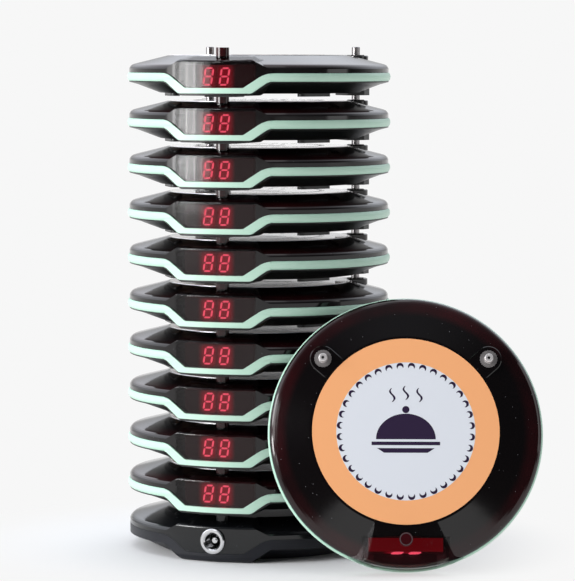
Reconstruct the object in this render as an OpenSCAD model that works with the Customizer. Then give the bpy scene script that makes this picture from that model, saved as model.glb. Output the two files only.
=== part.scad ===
// Guest pager system: a charging base with a stack of coaster pagers on it, and one more
// pager that stands on its edge and leans against the stack.
// Sizes are in millimetres. The stack's axis is Z, the table top is z = 0, and the
// displays of the stack face -Y. A pager's own frame has z = 0 at its feet.

/* [Pager outline] */
// Radius of the light band, the widest part of a pager
pager_r = 51; // [50:0.1:53]
// Height of a pager from its feet to its flat top
pager_h = 15.5; // [15.3:0.1:16.5]
// Clear gap between a pager's flat top and the feet of the next pager
pager_gap = 2; // [1.8:0.1:2.4]
// Width of the sloping dome between the rim and the flat top
dome_w = 15.6; // [15:0.1:16.2]
// Slope of the dome outside the flat top, in degrees
dome_angle = 14; // [13.5:0.1:14.5]
// Distance from the rim to where the dome starts to round over
shoulder_in = 3.6; // [3.4:0.1:4.4]
// Radius of the rounding at the rim
rim_round = 2.8; // [2.5:0.1:3]
// Drop from the flat top to the crease above the rim's wall
crease_drop = 5; // [4.9:0.1:5.1]

/* [Light band] */
// Drop from the flat top to the band's upper edge
band_drop = 6.5; // [6.3:0.1:6.8]
// Height of the band round the rim
band_h = 3.3; // [3:0.1:3.4]
// Thickness of the band, measured inwards
band_t = 2.7; // [2.4:0.1:3]
// How far the middle of the band stands proud of the shells
band_proud = 0.75; // [0.6:0.05:0.9]
// How far the band's two edges stand proud of the shells
edge_proud = 0.1; // [0:0.05:0.3]
// How far the band stands proud of the shells where it dips
dip_proud = 0.55; // [0.4:0.05:0.6]
// How far the band's upper edge dips under the display
dip_depth = 5.5; // [5:0.1:5.6]
// Height of the band at the bottom of the dip
dip_h = 2.2; // [2:0.1:2.3]
// Half the width of the display window at the bottom of the dip
dip_half_w = 11.6; // [10.5:0.1:12]
// Sideways run of the sloping part of the band's upper edge
dip_run = 8.1; // [7.5:0.1:8.6]
// Extra half width of the band's lower edge at the bottom of the dip
low_edge_in = 3; // [2.5:0.1:3.2]
// Extra half width of the band's lower edge at the top of the dip
low_edge_out = 0.9; // [0.6:0.1:1.2]

/* [Display block] */
// Half the width of the block's roof at the rim
roof_half_w = 15.1; // [14.6:0.1:15.6]
// Drop of the roof from the flat top to the rim
roof_drop = 1.9; // [1.6:0.1:2.1]
// Slope of the block's side faces, in degrees
side_angle = 28.3; // [27:0.1:31]
// Rounding of the roof's front edge
roof_edge_round = 0.8; // [0.6:0.1:1]

/* [Shells] */
// Wall of the top cover
cover_wall = 1.6; // [1.4:0.1:1.7]
// Height of the case's underside above its feet
foot_h = 1.2; // [1:0.1:1.4]
// Thickness of the case's floor
floor_t = 1.6; // [1.5:0.1:1.8]
// Distance from the rim to the case's flat underside
floor_in = 12.6; // [12.2:0.1:13]
// Distance from the rim to the bend in the case's underside
skirt_in = 4.1; // [3.8:0.1:4.5]
// Height of that bend above the feet
skirt_z = 4.4; // [4.2:0.1:4.6]
// Height of the case's lip under the dip of the band
lip_h = 0.8; // [0.6:0.1:1]
// Assembly gap between the shells and the band
seam = 0.1; // [0.05:0.01:0.15]

/* [Charging pins and post] */
// Distance of the charging pins' axes from the rim
pin_in = 10.2; // [9.8:0.1:10.6]
// Angle of the charging pins from the display, in degrees
pin_angle = 131.4; // [130:0.1:134]
// Diameter of a charging pin
pin_d = 3.2; // [2.8:0.1:3.6]
// Height of a charging pin above the flat top
pin_h = 3.4; // [3.2:0.1:3.6]
// Diameter of the pin's knurled collar
collar_d = 6.6; // [6:0.1:6.8]
// Radius of the raised ear that carries a pin
ear_r = 4.85; // [4.5:0.05:5.2]
// Bevel round the ear's top edge
ear_bevel = 0.3; // [0.1:0.05:0.5]
// Distance of the locating post's axis from the rim
post_in = 11; // [10.6:0.1:11.4]
// Diameter of the locating post
post_d = 5; // [4.6:0.1:5.4]
// Height of the locating post above the flat top
post_h = 3; // [2.8:0.1:3.2]
// Radial clearance between the post and its socket
socket_clear = 0.3; // [0.2:0.05:0.5]
// Diameter of the contact socket in the case
contact_socket_d = 7; // [6.6:0.1:7.4]
// Thickness of the contact plate in that socket
plate_t = 0.6; // [0.5:0.05:0.6]
// Distance of the front pads from the rim
pad_in = 16.8; // [16.4:0.1:17.4]
// Angle of the front pads from the display, in degrees
pad_angle = 57.4; // [54:0.2:60]
// Length of a front pad
pad_l = 14.8; // [12:0.2:16]
// Width of a front pad
pad_w = 3.7; // [3:0.1:4]

/* [Inside a pager] */
// Width of the plain ring between the label and the edge of the flat top
label_margin = 0.9; // [0.5:0.1:2]
// Thickness of the label
label_t = 0.25; // [0.15:0.05:0.4]
// Distance from the rim to the circuit board's edge
board_in = 8; // [7.5:0.1:9]
// Thickness of the circuit board
board_t = 1.2; // [1:0.1:1.6]
// Height of the circuit board's underside above the feet
board_z = 8.5; // [8.4:0.1:8.8]
// Width of the display module
display_w = 27.4; // [24:0.1:27.6]
// Depth of the display module
display_t = 5; // [4:0.1:5.2]
// Height of the display module
display_h = 9.1; // [8.8:0.1:9.2]
// Distance from the rim to the display's face
display_in = 7; // [6.8:0.1:7.4]
// Width of the battery
battery_w = 40; // [36:0.5:42]
// Length of the battery, front to back
battery_l = 26; // [22:0.5:28]
// Thickness of the battery
battery_t = 5.2; // [4.6:0.1:5.4]
// Diameter of the vibration motor
motor_d = 6; // [5:0.1:6]
// Length of the vibration motor
motor_l = 12; // [10:0.5:13]
// Length of the motor's eccentric weight
weight_l = 4; // [3:0.1:4.4]
// Diameter of the circle swept by the eccentric weight
weight_d = 4.8; // [4:0.1:4.9]
// Distance of the screws' axes from the rim
screw_in = 17; // [16.8:0.1:17.6]
// Angle of the two front screws from the display, in degrees
screw_angle = 80; // [78:0.5:84]
// Size of the main chip, along one side
chip_w = 12; // [10:0.5:13]
// Diameter of a screw's shank
screw_d = 2.2; // [2:0.1:2.4]
// Diameter of a screw's head
screw_head_d = 4.6; // [4.2:0.1:5]

/* [Charging base] */
// Height of the jack's axis above the table
jack_z = 8.1; // [7.9:0.1:8.2]
// Outer diameter of the jack's ring
jack_ring_d = 9.6; // [9.2:0.1:9.8]
// Diameter of the hole for the plug
jack_hole_d = 6; // [5.8:0.1:6.2]
// Diameter of the jack's centre pin
jack_pin_d = 2.1; // [1.9:0.1:2.5]
// How far the jack's ring stands out of the base
jack_proud = 1.3; // [1:0.1:1.6]
// How far the jack's centre pin stands back from the ring
jack_pin_back = 2.6; // [2:0.1:3]
// Rounding of the base's front edge at the table
front_round = 2.2; // [1:0.1:2.4]
// Width of the rim that the base stands on
stand_w = 4.4; // [4:0.1:5]
// Diameter of a rubber foot
rubber_foot_d = 9; // [8:0.5:10]

/* [Leaning pager] */
// Direction that the leaning pager's place is measured in, from -Y, in degrees
view_turn = 20; // [15:1:25]
// Backward lean of the standing pager, in degrees
lean = 14.5; // [12:0.5:18]
// Turn of the standing pager away from that direction, in degrees
lean_turn = -1.4; // [-3:0.1:0]
// Distance of the standing pager's middle from the stack's axis, sideways
lean_side = 54.5; // [52:0.5:60]
// Gap left between the standing pager and the stack
lean_gap = 0.35; // [0.3:0.05:0.6]

/* [Hidden] */
stack_count = 10;
function two_digits(k) = k < 10 ? str("0", k) : str(k);
STACK_PARTS = ["top_cover", "light_ring", "bottom_case", "electronics"];
BASE_PARTS = ["top_cover", "bottom_case", "jack_housing", "jack_contacts",
    "charging_pins", "circuit_board", "rubber_feet", "screws"];
FRONT_PARTS = ["top_cover", "light_ring", "bottom_case", "label", "charging_pins",
    "contact_plates", "circuit_board", "display", "battery", "vibration_motor",
    "motor_weight", "screws"];
$fn = 72;

pitch = pager_h + pager_gap;
shell_r = pager_r - band_proud;
flat_r = pager_r - dome_w;
shoulder_r = pager_r - shoulder_in;
floor_r = pager_r - floor_in;
skirt_r = pager_r - skirt_in;
pin_circle_r = pager_r - pin_in;
post_circle_r = pager_r - post_in;
pad_r = pager_r - pad_in;
screw_circle_r = pager_r - screw_in;
label_r = flat_r - label_margin;
board_r = pager_r - board_in;
display_reach = pager_r - display_in;
far = pager_r + 4;             // past every outline
crease_a = 20;                 // where the rim's rounding meets the wall
crease_z = pager_h - crease_drop;
rim_c = [shell_r - rim_round * cos(crease_a), crease_z - rim_round * sin(crease_a)];
shoulder_z = pager_h - (shoulder_r - flat_r) * tan(dome_angle);

band_top = pager_h - band_drop;
band_low = band_top - band_h;
dip_top = band_top - dip_depth;
dip_low = dip_top - dip_h;
lip_z = dip_low - lip_h;
band_in_r = pager_r - band_t;
bulge_rise = band_proud - edge_proud;
bulge_half = band_h / 2 - seam;
bulge_r = (bulge_half * bulge_half + bulge_rise * bulge_rise) / (2 * bulge_rise);
bulge_a = asin(bulge_half / bulge_r);
upstand_r = band_in_r - 2 * seam;
spigot_t = 1.5;                // the case's upright rim, which the band sits round
spigot_top = band_top + 1.2;
window_half_w = dip_half_w + dip_run + 1.5;

roof_z = pager_h - roof_drop;
roof_slope = roof_drop / (shell_r - flat_r);
block_back = flat_r - 9;       // the display block runs in under the flat top this far
block_foot = band_top - 1;     // and starts at this height, inside the rim
roof_arc = 60;                 // how far the roof's front edge turns down, in degrees

floor_z = foot_h + floor_t;
board_top = board_z + board_t;
board_front = display_reach - display_t - 0.8;
ear_h = 4;
ear_leg = pin_circle_r - flat_r + 3;
collar_h = 0.75;
collar_sunk = 0.5;
display_z = floor_z + 0.1;
fit = 0.1;                     // clearance round inner pieces in their seats
plate_z = pin_h - pager_gap;   // a pin of the pager below reaches this high
battery_y = 8;
battery_size = [battery_w, battery_l, battery_t];
chip_y = -14;
chip_h = 1.6;
memory_size = [5, 8, 1.4];
memory_at = [12, 2];
lamp_w = 3;
motor_y = -24;
motor_x = 4;
motor_z = floor_z + motor_d / 2 + fit;
shaft_d = 1;
boss_d = 7.6;
cover_boss_d = 5.6;
screw_seat_z = 3.2;
screw_head_h = 1.5;
screw_top = 12.6;

jack_face = shell_r + jack_proud;
jack_ring_t = 1;
jack_depth = 8;
jack_body_l = 12;
jack_body_w = 10;
jack_body_top = 12.7;
jack_barrel_d = 8.4;
jack_root_d = 3.4;             // the centre pin's foot inside the housing
base_floor_z = 2.6;
base_panel_z = 0.8;
base_panel_r = floor_r - stand_w;
base_wall_r = shell_r - 2.4;
rubber_foot_sunk = 0.4;
rubber_foot_in = 1.5;          // its distance from the standing rim

// ---- small helpers ----

// Points of an arc round c, from angle a0 to a1
function arc(c, r, a0, a1, n = 4) =
    [for (i = [0:n]) let (a = a0 + (a1 - a0) * i / n) c + r * [cos(a), sin(a)]];

// Points that round the corner b between a and c with radius r
function corner(a, b, c, r, n = 5) =
    let (u = (a - b) / norm(a - b),
         v = (c - b) / norm(c - b),
         half = acos(u * v) / 2,
         mid = b + (u + v) / norm(u + v) * r / sin(half),
         s = b + u * r / tan(half) - mid,
         e = b + v * r / tan(half) - mid,
         a0 = atan2(s.y, s.x),
         turn = (atan2(e.y, e.x) - a0 + 540) % 360 - 180)
    arc(mid, r, a0, a0 + turn, n);

// A line seen from the front: level at z_flat, dipping to z_dip between the display's sides
function dip_line(z_flat, z_dip, x_out, x_in, r_out, r_in) =
    let (p = [[-far, z_flat], [-x_out, z_flat], [-x_in, z_dip],
              [x_in, z_dip], [x_out, z_flat], [far, z_flat]])
    concat([p[0]],
        corner(p[0], p[1], p[2], r_out),
        corner(p[1], p[2], p[3], r_in),
        corner(p[2], p[3], p[4], r_in),
        corner(p[3], p[4], p[5], r_out),
        [p[5]]);

// The band's upper edge, lowered by s, and its lower edge, raised by s
function band_upper_line(s = 0) =
    dip_line(band_top - s, dip_top - s, dip_half_w + dip_run, dip_half_w, 9, 1.2);
function band_lower_line(s = 0) =
    dip_line(band_low + s, dip_low + s, dip_half_w + dip_run + low_edge_out,
        dip_half_w + low_edge_in, 4, 2.5);

// Everything above, or below, such a line in the front half
module above_line(line)
    rotate([90, 0, 0]) linear_extrude(height = far)
        polygon(concat(line, [[far, pager_h + 9], [-far, pager_h + 9]]));

module below_line(line)
    rotate([90, 0, 0]) linear_extrude(height = far)
        polygon(concat(line, [[far, -9], [-far, -9]]));

module below_level_behind(z)
    translate([-far, 0, -9]) cube([2 * far, far, z + 9]);

module tube(r_out, r_in, z0, z1)
    rotate_extrude() translate([r_in, z0]) square([r_out - r_in, z1 - z0]);

// A slab with rounded corners, standing on z = 0
module rounded_slab(size, r)
    linear_extrude(height = size.z) polygon([for (i = [0:3])
        let (sx = (i == 0 || i == 3) ? 1 : -1, sy = i < 2 ? 1 : -1)
        each arc([sx * (size.x / 2 - r), sy * (size.y / 2 - r)], r, i * 90, i * 90 + 90)]);

// Copies at the two charging pins, and at the three screws
module at_pins()
    for (side = [-1, 1]) rotate([0, 0, side * pin_angle]) translate([0, -pin_circle_r, 0])
        children();

module at_screws()
    for (a = [-screw_angle, screw_angle, 180]) rotate([0, 0, a])
        translate([0, -screw_circle_r, 0]) children();

module bar_along_x(x, y, z, d, l)
    translate([x, y, z]) rotate([0, 90, 0]) cylinder(d = d, h = l);

// A cylinder from y = -from back to y = -to
module bar_along_y(z, d, from, to)
    translate([0, -to, z]) rotate([90, 0, 0]) cylinder(d = d, h = from - to);

// ---- the outer form of the top cover ----

// Half section of the dome, moved inwards by t
function dome_outline(t) = concat(
    [[0, -t], [shell_r - t * cos(crease_a), -t]],
    arc(rim_c, rim_round - t, crease_a, 75),
    [[shoulder_r - t * sin(dome_angle), shoulder_z - t * cos(dome_angle)],
     [flat_r - t * tan(dome_angle / 2), pager_h - t],
     [0, pager_h - t]]);

// Half width of the display block at height z
function block_x(z, t) = roof_half_w + (roof_z - z) / tan(side_angle) - t / sin(side_angle);

module display_block(t) {
    reach = far - block_back;
    intersection() {
        // its sloping side faces, seen from the front
        translate([0, -block_back, 0]) rotate([90, 0, 0]) linear_extrude(height = reach)
            polygon([[-block_x(block_foot, t), block_foot], [-block_x(pager_h - t, t), pager_h - t],
                     [block_x(pager_h - t, t), pager_h - t], [block_x(block_foot, t), block_foot]]);
        // its roof, seen from the side
        rotate([90, 0, 90]) linear_extrude(height = 2 * far, center = true)
            polygon([[-far, block_foot - 1], [-far, pager_h - (far - flat_r) * roof_slope - t],
                     [-flat_r, pager_h - t], [-block_back + 1, pager_h - t],
                     [-block_back + 1, block_foot - 1]]);
        // the rim that it follows, with a rounded front edge
        rotate_extrude() polygon(t > 0
            ? [[0, block_foot - 1], [shell_r - t, block_foot - 1],
               [shell_r - t, pager_h + 1], [0, pager_h + 1]]
            : concat([[0, block_foot - 1], [shell_r, block_foot - 1]],
                arc([shell_r - roof_edge_round, roof_z - 0.9 * roof_edge_round],
                    roof_edge_round, 0, roof_arc, 3),
                [[shell_r - 5, pager_h + 1], [0, pager_h + 1]]));
    }
}

module cover_form(t) {
    rotate_extrude() polygon(dome_outline(t));
    display_block(t);
}

// ---- pieces of a pager, in its own frame ----

// Raised ear that carries a charging pin, level with the flat top
module pin_ears()
    for (side = [-1, 1]) rotate([0, 0, side * pin_angle])
        translate([0, -pin_circle_r, pager_h - ear_h]) {
            cylinder(r = ear_r, h = ear_h - ear_bevel);
            translate([0, 0, ear_h - ear_bevel])
                cylinder(r1 = ear_r, r2 = ear_r - ear_bevel, h = ear_bevel);
            translate([0, ear_leg, 0]) rotate([90, 0, 0]) linear_extrude(height = ear_leg)
                polygon([[-ear_r, 0], [ear_r, 0], [ear_r, ear_h - ear_bevel],
                         [ear_r - ear_bevel, ear_h], [ear_bevel - ear_r, ear_h],
                         [-ear_r, ear_h - ear_bevel]]);
        }

module top_cover_shape() {
    difference() {
        union() {
            difference() {
                cover_form(0);
                cover_form(cover_wall);
                below_line(band_upper_line());
                below_level_behind(band_top);
            }
            pin_ears();
            // locating post
            translate([0, -post_circle_r, roof_z - cover_wall + 1.4])
                cylinder(d = post_d, h = pager_h + post_h - (roof_z - cover_wall + 1.4));
            at_screws() translate([0, 0, board_top])
                cylinder(d = cover_boss_d, h = pager_h - cover_wall / 2 - board_top);
        }
        at_pins() translate([0, 0, pager_h - collar_sunk]) cylinder(d = collar_d + 2 * fit, h = 9);
        at_pins() cylinder(d = pin_d - 0.6, h = pager_h);
        at_screws() translate([0, 0, board_top - 1])
            cylinder(d = screw_d + fit, h = screw_top + 1.4 - board_top);
    }
}

module top_cover() color([0.09, 0.05, 0.055]) top_cover_shape();

// Light band: level round the rim, dipping under the display
module light_ring()
    color([0.78, 0.93, 0.86]) difference() {
        union() {
            rotate_extrude() polygon(concat([[band_in_r, band_low + seam]],
                arc([pager_r - bulge_r, (band_top + band_low) / 2], bulge_r, -bulge_a, bulge_a, 6),
                [[band_in_r, band_top - seam]]));
            intersection() {
                tube(shell_r + dip_proud, band_in_r, lip_z, band_top - seam);
                translate([-window_half_w, -far, 0]) cube([2 * window_half_w, far, pager_h]);
            }
        }
        above_line(band_upper_line(seam));
        below_line(band_lower_line(seam));
    }

// The case's lip under the dip of the band, seen from the front
function lip_outline(z) =
    let (x_in = dip_half_w + low_edge_in - 1, x_out = dip_half_w + dip_run + low_edge_out + 1.4,
         p = [[-x_out, band_low], [-x_in, z], [x_in, z], [x_out, band_low]])
    concat([p[0]], corner(p[0], p[1], p[2], 2), corner(p[1], p[2], p[3], 2), [p[3]]);

module case_lip(z, edge_round)
    intersection() {
        translate([0, -floor_r + 3, 0]) rotate([90, 0, 0]) linear_extrude(height = far - floor_r)
            polygon(lip_outline(z));
        rotate_extrude() polygon(concat([[0, z]],
            arc([shell_r - edge_round, z + edge_round], edge_round, -90, 0),
            [[shell_r, band_low], [0, band_low]]));
    }

// Foot round a contact socket: straight sides and a blunt outer tip
foot_half_w = contact_socket_d / 2 + 2.7;
foot_tip_r = pin_circle_r + contact_socket_d / 2 + 1;
module contact_foot()
    linear_extrude(height = floor_z)
        polygon([[-foot_half_w, -pin_circle_r + 6], [-foot_half_w, -pin_circle_r - 1],
                 [-foot_half_w / 2, -foot_tip_r], [foot_half_w / 2, -foot_tip_r],
                 [foot_half_w, -pin_circle_r - 1], [foot_half_w, -pin_circle_r + 6]]);

// Long pads under the front half
module front_pads()
    for (side = [-1, 1]) rotate([0, 0, side * pad_angle]) translate([0, -pad_r, 0])
        linear_extrude(height = floor_z) {
            square([pad_l - pad_w, pad_w], center = true);
            for (end = [-1, 1]) translate([end * (pad_l - pad_w) / 2, 0]) circle(d = pad_w);
        }

post_foot_w = post_d + 8;
module post_foot()
    linear_extrude(height = floor_z) {
        translate([-post_foot_w / 2, -post_circle_r - 2]) square([post_foot_w, 8]);
        translate([0, -post_circle_r - 2])
            square([post_foot_w - 3, 2 * (post_d / 2 + 2.5) - 3], center = true);
    }

// Upright rim that holds the band from inside, open behind the display
module spigot()
    difference() {
        tube(upstand_r, upstand_r - spigot_t, band_low - 0.4, spigot_top);
        translate([-window_half_w, -far, 0]) cube([2 * window_half_w, far, pager_h]);
    }

// Bosses that carry the board and take the screws, and the motor's cradle
module case_bosses(floor_level) {
    at_screws() translate([0, 0, floor_level - 1]) cylinder(d = boss_d, h = board_z - floor_level + 1);
}

module motor_cradle()
    for (x = [motor_x + 2, motor_x + motor_l - 3.2]) difference() {
        translate([x, motor_y - motor_d / 2 - 1.2, floor_z - 0.5])
            cube([1.2, motor_d + 2.4, motor_z - floor_z + 0.5]);
        bar_along_x(x - 1, motor_y, motor_z, motor_d + 2 * fit, 4);
    }

module screw_holes() {
    at_screws() translate([0, 0, -1]) cylinder(d = screw_head_d + 0.6, h = screw_seat_z + 1);
    at_screws() cylinder(d = screw_d + 0.4, h = board_z + 1);
}

module bottom_case_shape() {
    slope = (skirt_r - floor_r) / (skirt_z - foot_h);
    difference() {
        union() {
            difference() {
                union() {
                    rotate_extrude() polygon([[0, foot_h], [floor_r, foot_h], [skirt_r, skirt_z],
                        [shell_r, band_low - 0.4], [shell_r, band_low], [0, band_low]]);
                    case_lip(lip_z, 0.4);
                }
                // the hollow inside
                rotate_extrude() polygon([[0, floor_z], [floor_r - 0.6, floor_z],
                    [floor_r - 0.6 + slope * (band_low + 1 - floor_z), band_low + 1],
                    [0, band_low + 1]]);
                // the seat of the band's dip, and the way to the display behind it
                intersection() {
                    above_line(band_lower_line());
                    tube(far, upstand_r, -1, pager_h);
                }
                intersection() {
                    above_line(band_upper_line(2 * seam));
                    tube(upstand_r + 0.5, floor_r, -1, pager_h);
                    translate([-window_half_w, -far, 0]) cube([2 * window_half_w, far, pager_h]);
                }
                translate([-display_w / 2 - fit, -display_reach - fit, display_z])
                    cube([display_w + 2 * fit, display_t + 2 * fit + 2, pager_h]);
            }
            post_foot();
            front_pads();
            for (side = [-1, 1]) rotate([0, 0, side * pin_angle]) contact_foot();
            case_bosses(floor_z);
            motor_cradle();
            spigot();
        }
        translate([0, -post_circle_r, -1])
            cylinder(d = post_d + 2 * socket_clear, h = post_h - pager_gap + 1);
        at_pins() translate([0, 0, -1]) cylinder(d = contact_socket_d, h = plate_z + plate_t + 1);
        screw_holes();
    }
}

module bottom_case() color([0.07, 0.075, 0.08]) bottom_case_shape();

// A metal pin with a knurled collar, a hollowed tip and a shank down to the board
module charging_pin() {
    teeth = 20;
    difference() {
        union() {
            translate([0, 0, board_top]) cylinder(d = pin_d - 0.8, h = pager_h - board_top);
            translate([0, 0, pager_h - collar_sunk]) linear_extrude(height = collar_h)
                polygon([for (i = [0:2 * teeth - 1]) let (a = i * 180 / teeth)
                    (collar_d / 2 - (i % 2) * 0.18) * [cos(a), sin(a)]]);
            rotate_extrude() polygon(concat([[0, pager_h], [pin_d / 2, pager_h]],
                arc([pin_d / 2 - 0.4, pager_h + pin_h - 0.4], 0.4, 0, 90, 3),
                [[0, pager_h + pin_h]]));
        }
        translate([0, 0, pager_h + pin_h - 0.5]) cylinder(d1 = 0.6, d2 = 1.4, h = 0.6);
    }
}

module charging_pins() color([0.72, 0.72, 0.74]) at_pins() charging_pin();

module contact_plates()
    color([0.72, 0.72, 0.74]) at_pins() translate([0, 0, plate_z])
        cylinder(d = contact_socket_d - 2 * fit, h = plate_t);

module circuit_board()
    color([0.05, 0.3, 0.16]) difference() {
        union() {
            translate([0, 0, board_z]) cylinder(r = board_r, h = board_t);
            // lamps at the edge that light the band, and the main chips
            for (a = [20:40:340]) rotate([0, 0, a - 90])
                translate([board_r - lamp_w - 1, -lamp_w / 2, board_top - 0.2])
                    cube([lamp_w, lamp_w, 1.2]);
            translate([-chip_w / 2, chip_y, board_top - 0.2]) cube([chip_w, chip_w, chip_h]);
            translate([memory_at.x, memory_at.y, board_top - 0.2]) cube(memory_size);
        }
        translate([-far, -far - board_front, 0]) cube([2 * far, far, pager_h]);
        at_screws() cylinder(d = screw_d + 0.4, h = pager_h);
        // room for the motor
        translate([motor_x - weight_l - 1.2, motor_y - motor_d / 2 - 0.4, 0])
            cube([motor_l + weight_l + 1.7, motor_d + 0.8, pager_h]);
    }

module display()
    color([0.12, 0.03, 0.035]) translate([-display_w / 2, -display_reach, display_z])
        cube([display_w, display_t, display_h]);

module battery()
    color([0.6, 0.6, 0.62]) translate([0, battery_y, floor_z]) rounded_slab(battery_size, 1.5);

module vibration_motor()
    color([0.65, 0.65, 0.66]) {
        bar_along_x(motor_x, motor_y, motor_z, motor_d, motor_l);
        bar_along_x(motor_x - weight_l - 0.6, motor_y, motor_z, shaft_d, weight_l + 1);
    }

// A cut disc that turns on the motor's shaft; at turn = 0 its heavy side is underneath
module motor_weight(turn = 0)
    color([0.55, 0.54, 0.5]) translate([0, motor_y, motor_z]) rotate([turn, 0, 0]) difference() {
        bar_along_x(motor_x - weight_l - 0.3, 0, 0, weight_d, weight_l);
        translate([motor_x - weight_l - 1, -weight_d, 0.9])
            cube([weight_l + 2, 2 * weight_d, weight_d]);
        bar_along_x(motor_x - weight_l - 1, 0, 0, shaft_d + fit, weight_l + 2);
    }

module screw() {
    head_z = screw_seat_z - screw_head_h;
    difference() {
        union() {
            translate([0, 0, head_z]) cylinder(d = screw_head_d, h = screw_head_h);
            translate([0, 0, screw_seat_z - 0.1]) cylinder(d = screw_d, h = screw_top - screw_seat_z);
        }
        for (a = [0, 90]) rotate([0, 0, a]) translate([-1.3, -0.3, head_z - 0.1]) cube([2.6, 0.6, 0.9]);
    }
}

module screws() color([0.3, 0.3, 0.31]) at_screws() screw();

module label()
    color([0.96, 0.7, 0.45]) translate([0, 0, pager_h]) cylinder(r = label_r, h = label_t);

// All that a stacked pager holds, as separate solids in one node
module electronics() {
    circuit_board();
    display();
    battery();
    vibration_motor();
    motor_weight();
    charging_pins();
    contact_plates();
    screws();
}

// ---- pieces of the charging base, in the same frame with z = 0 on the table ----

module jack_clearance()
    bar_along_y(jack_z, jack_barrel_d + 2 * fit, far, board_front);

module base_top_cover()
    color([0.1, 0.1, 0.11]) difference() {
        top_cover_shape();
        jack_clearance();
    }

module base_bottom_case() {
    slope = (skirt_r - floor_r) / skirt_z;
    color([0.2, 0.21, 0.24]) difference() {
        union() {
            difference() {
                union() {
                    rotate_extrude() polygon([[0, base_panel_z], [base_panel_r, base_panel_z],
                        [base_panel_r, 0], [floor_r, 0], [skirt_r, skirt_z - 0.2],
                        [shell_r, band_low - 0.4], [shell_r, band_top - seam],
                        [0, band_top - seam]]);
                    case_lip(0, front_round);
                }
                rotate_extrude() polygon([[0, base_floor_z], [floor_r - 0.6, base_floor_z],
                    [base_wall_r, base_floor_z + (base_wall_r - floor_r + 0.6) / slope],
                    [base_wall_r, pager_h], [0, pager_h]]);
                above_line(band_upper_line(seam));
                translate([-jack_body_w / 2 - fit, -display_reach - 3, base_floor_z])
                    cube([jack_body_w + 2 * fit, jack_body_l + 6, pager_h]);
                jack_clearance();
            }
            case_bosses(base_floor_z);
        }
        screw_holes();
        rubber_foot_places() cylinder(d = rubber_foot_d + 2 * fit,
            h = base_panel_z + rubber_foot_sunk);
    }
}

module rubber_foot_places()
    for (a = [45:90:315]) rotate([0, 0, a])
        translate([base_panel_r - rubber_foot_d / 2 - rubber_foot_in, 0, 0]) children();

module base_rubber_feet()
    color([0.05, 0.05, 0.05]) rubber_foot_places()
        cylinder(d = rubber_foot_d, h = base_panel_z + rubber_foot_sunk);

// Black body of the jack: a barrel through the base's front and a block behind it
module base_jack_housing() {
    back = jack_face - jack_ring_t - jack_depth;
    color([0.08, 0.08, 0.085]) difference() {
        union() {
            bar_along_y(jack_z, jack_barrel_d, jack_face - jack_ring_t, back);
            translate([-jack_body_w / 2, -back, base_floor_z + fit])
                cube([jack_body_w, jack_body_l, jack_body_top - base_floor_z - fit]);
        }
        bar_along_y(jack_z, jack_hole_d + 0.8, far, back - 0.5);
        bar_along_y(jack_z, jack_root_d, far, back - 3);
    }
}

// Plated ring with its liner, and the centre pin
module base_jack_contacts() {
    back = jack_face - jack_ring_t - jack_depth;
    color([0.8, 0.8, 0.82]) {
        translate([0, -jack_face, jack_z]) rotate([-90, 0, 0]) rotate_extrude()
            polygon([[jack_hole_d / 2 + 0.5, 0], [jack_ring_d / 2 - 0.4, 0], [jack_ring_d / 2, 0.4],
                     [jack_ring_d / 2, jack_ring_t], [jack_hole_d / 2 + 0.4, jack_ring_t],
                     [jack_hole_d / 2 + 0.4, jack_depth - 1], [jack_hole_d / 2, jack_depth - 1],
                     [jack_hole_d / 2, 0.5]]);
        difference() {
            union() {
                bar_along_y(jack_z, jack_pin_d, jack_face - jack_pin_back, back - 3);
                bar_along_y(jack_z, jack_root_d, back - 0.5, back - 3);
            }
            translate([0, -jack_face + jack_pin_back + 0.5, jack_z]) rotate([90, 0, 0])
                tube(jack_pin_d, jack_pin_d / 2 - 0.35, 0, 1);
        }
    }
}

module base_circuit_board()
    difference() {
        circuit_board();
        translate([-jack_body_w / 2 - 1, -far, 0]) cube([jack_body_w + 2, far - board_front + 11, pager_h]);
    }

// ---- places ----

module on_stack(k) translate([0, 0, k * pitch]) children();

// The standing pager: its display is at the bottom, its face is turned to the viewer.
// A point of the pager, seen from the viewing direction: sideways, away, up.
function standing(p) =
    let (away = p.y * sin(lean) - p.z * cos(lean))
    [p.x * cos(lean_turn) - away * sin(lean_turn) + lean_side,
     p.x * sin(lean_turn) + away * cos(lean_turn),
     p.y * cos(lean) + p.z * sin(lean)];

// Circles round the pager's back that can meet the stack, as radius and height
back_rings = [[pager_r, band_low], [skirt_r, skirt_z], [norm([foot_tip_r, foot_half_w / 2]), 0],
              [floor_r, foot_h]];
clear_r = pager_r + lean_gap;
lean_away = min([for (ring = back_rings, a = [0:3:357])
    let (p = standing([ring[0] * cos(a), ring[0] * sin(a), ring[1]]))
    if (abs(p.x) < clear_r) -sqrt(clear_r * clear_r - p.x * p.x) - p.y]);
lean_up = max(shell_r * cos(lean) - lip_z * sin(lean),
    (shell_r + dip_proud) * cos(lean) - (dip_low + seam) * sin(lean));
lean_place = [lean_side * cos(view_turn) - lean_away * sin(view_turn),
              lean_side * sin(view_turn) + lean_away * cos(view_turn), lean_up];

module leaning()
    translate(lean_place) rotate([0, 0, view_turn + lean_turn]) rotate([90 - lean, 0, 0])
        children();

// ---- the nodes ----

base_top_cover();
base_bottom_case();
base_jack_housing();
base_jack_contacts();
charging_pins();  // base_charging_pins
base_circuit_board();
base_rubber_feet();
screws();  // base_screws

for (k = [1:stack_count]) {
    name = str("pager_", two_digits(k), "_");
    on_stack(k) top_cover();
    on_stack(k) light_ring();
    on_stack(k) bottom_case();
    on_stack(k) electronics();
}

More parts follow.
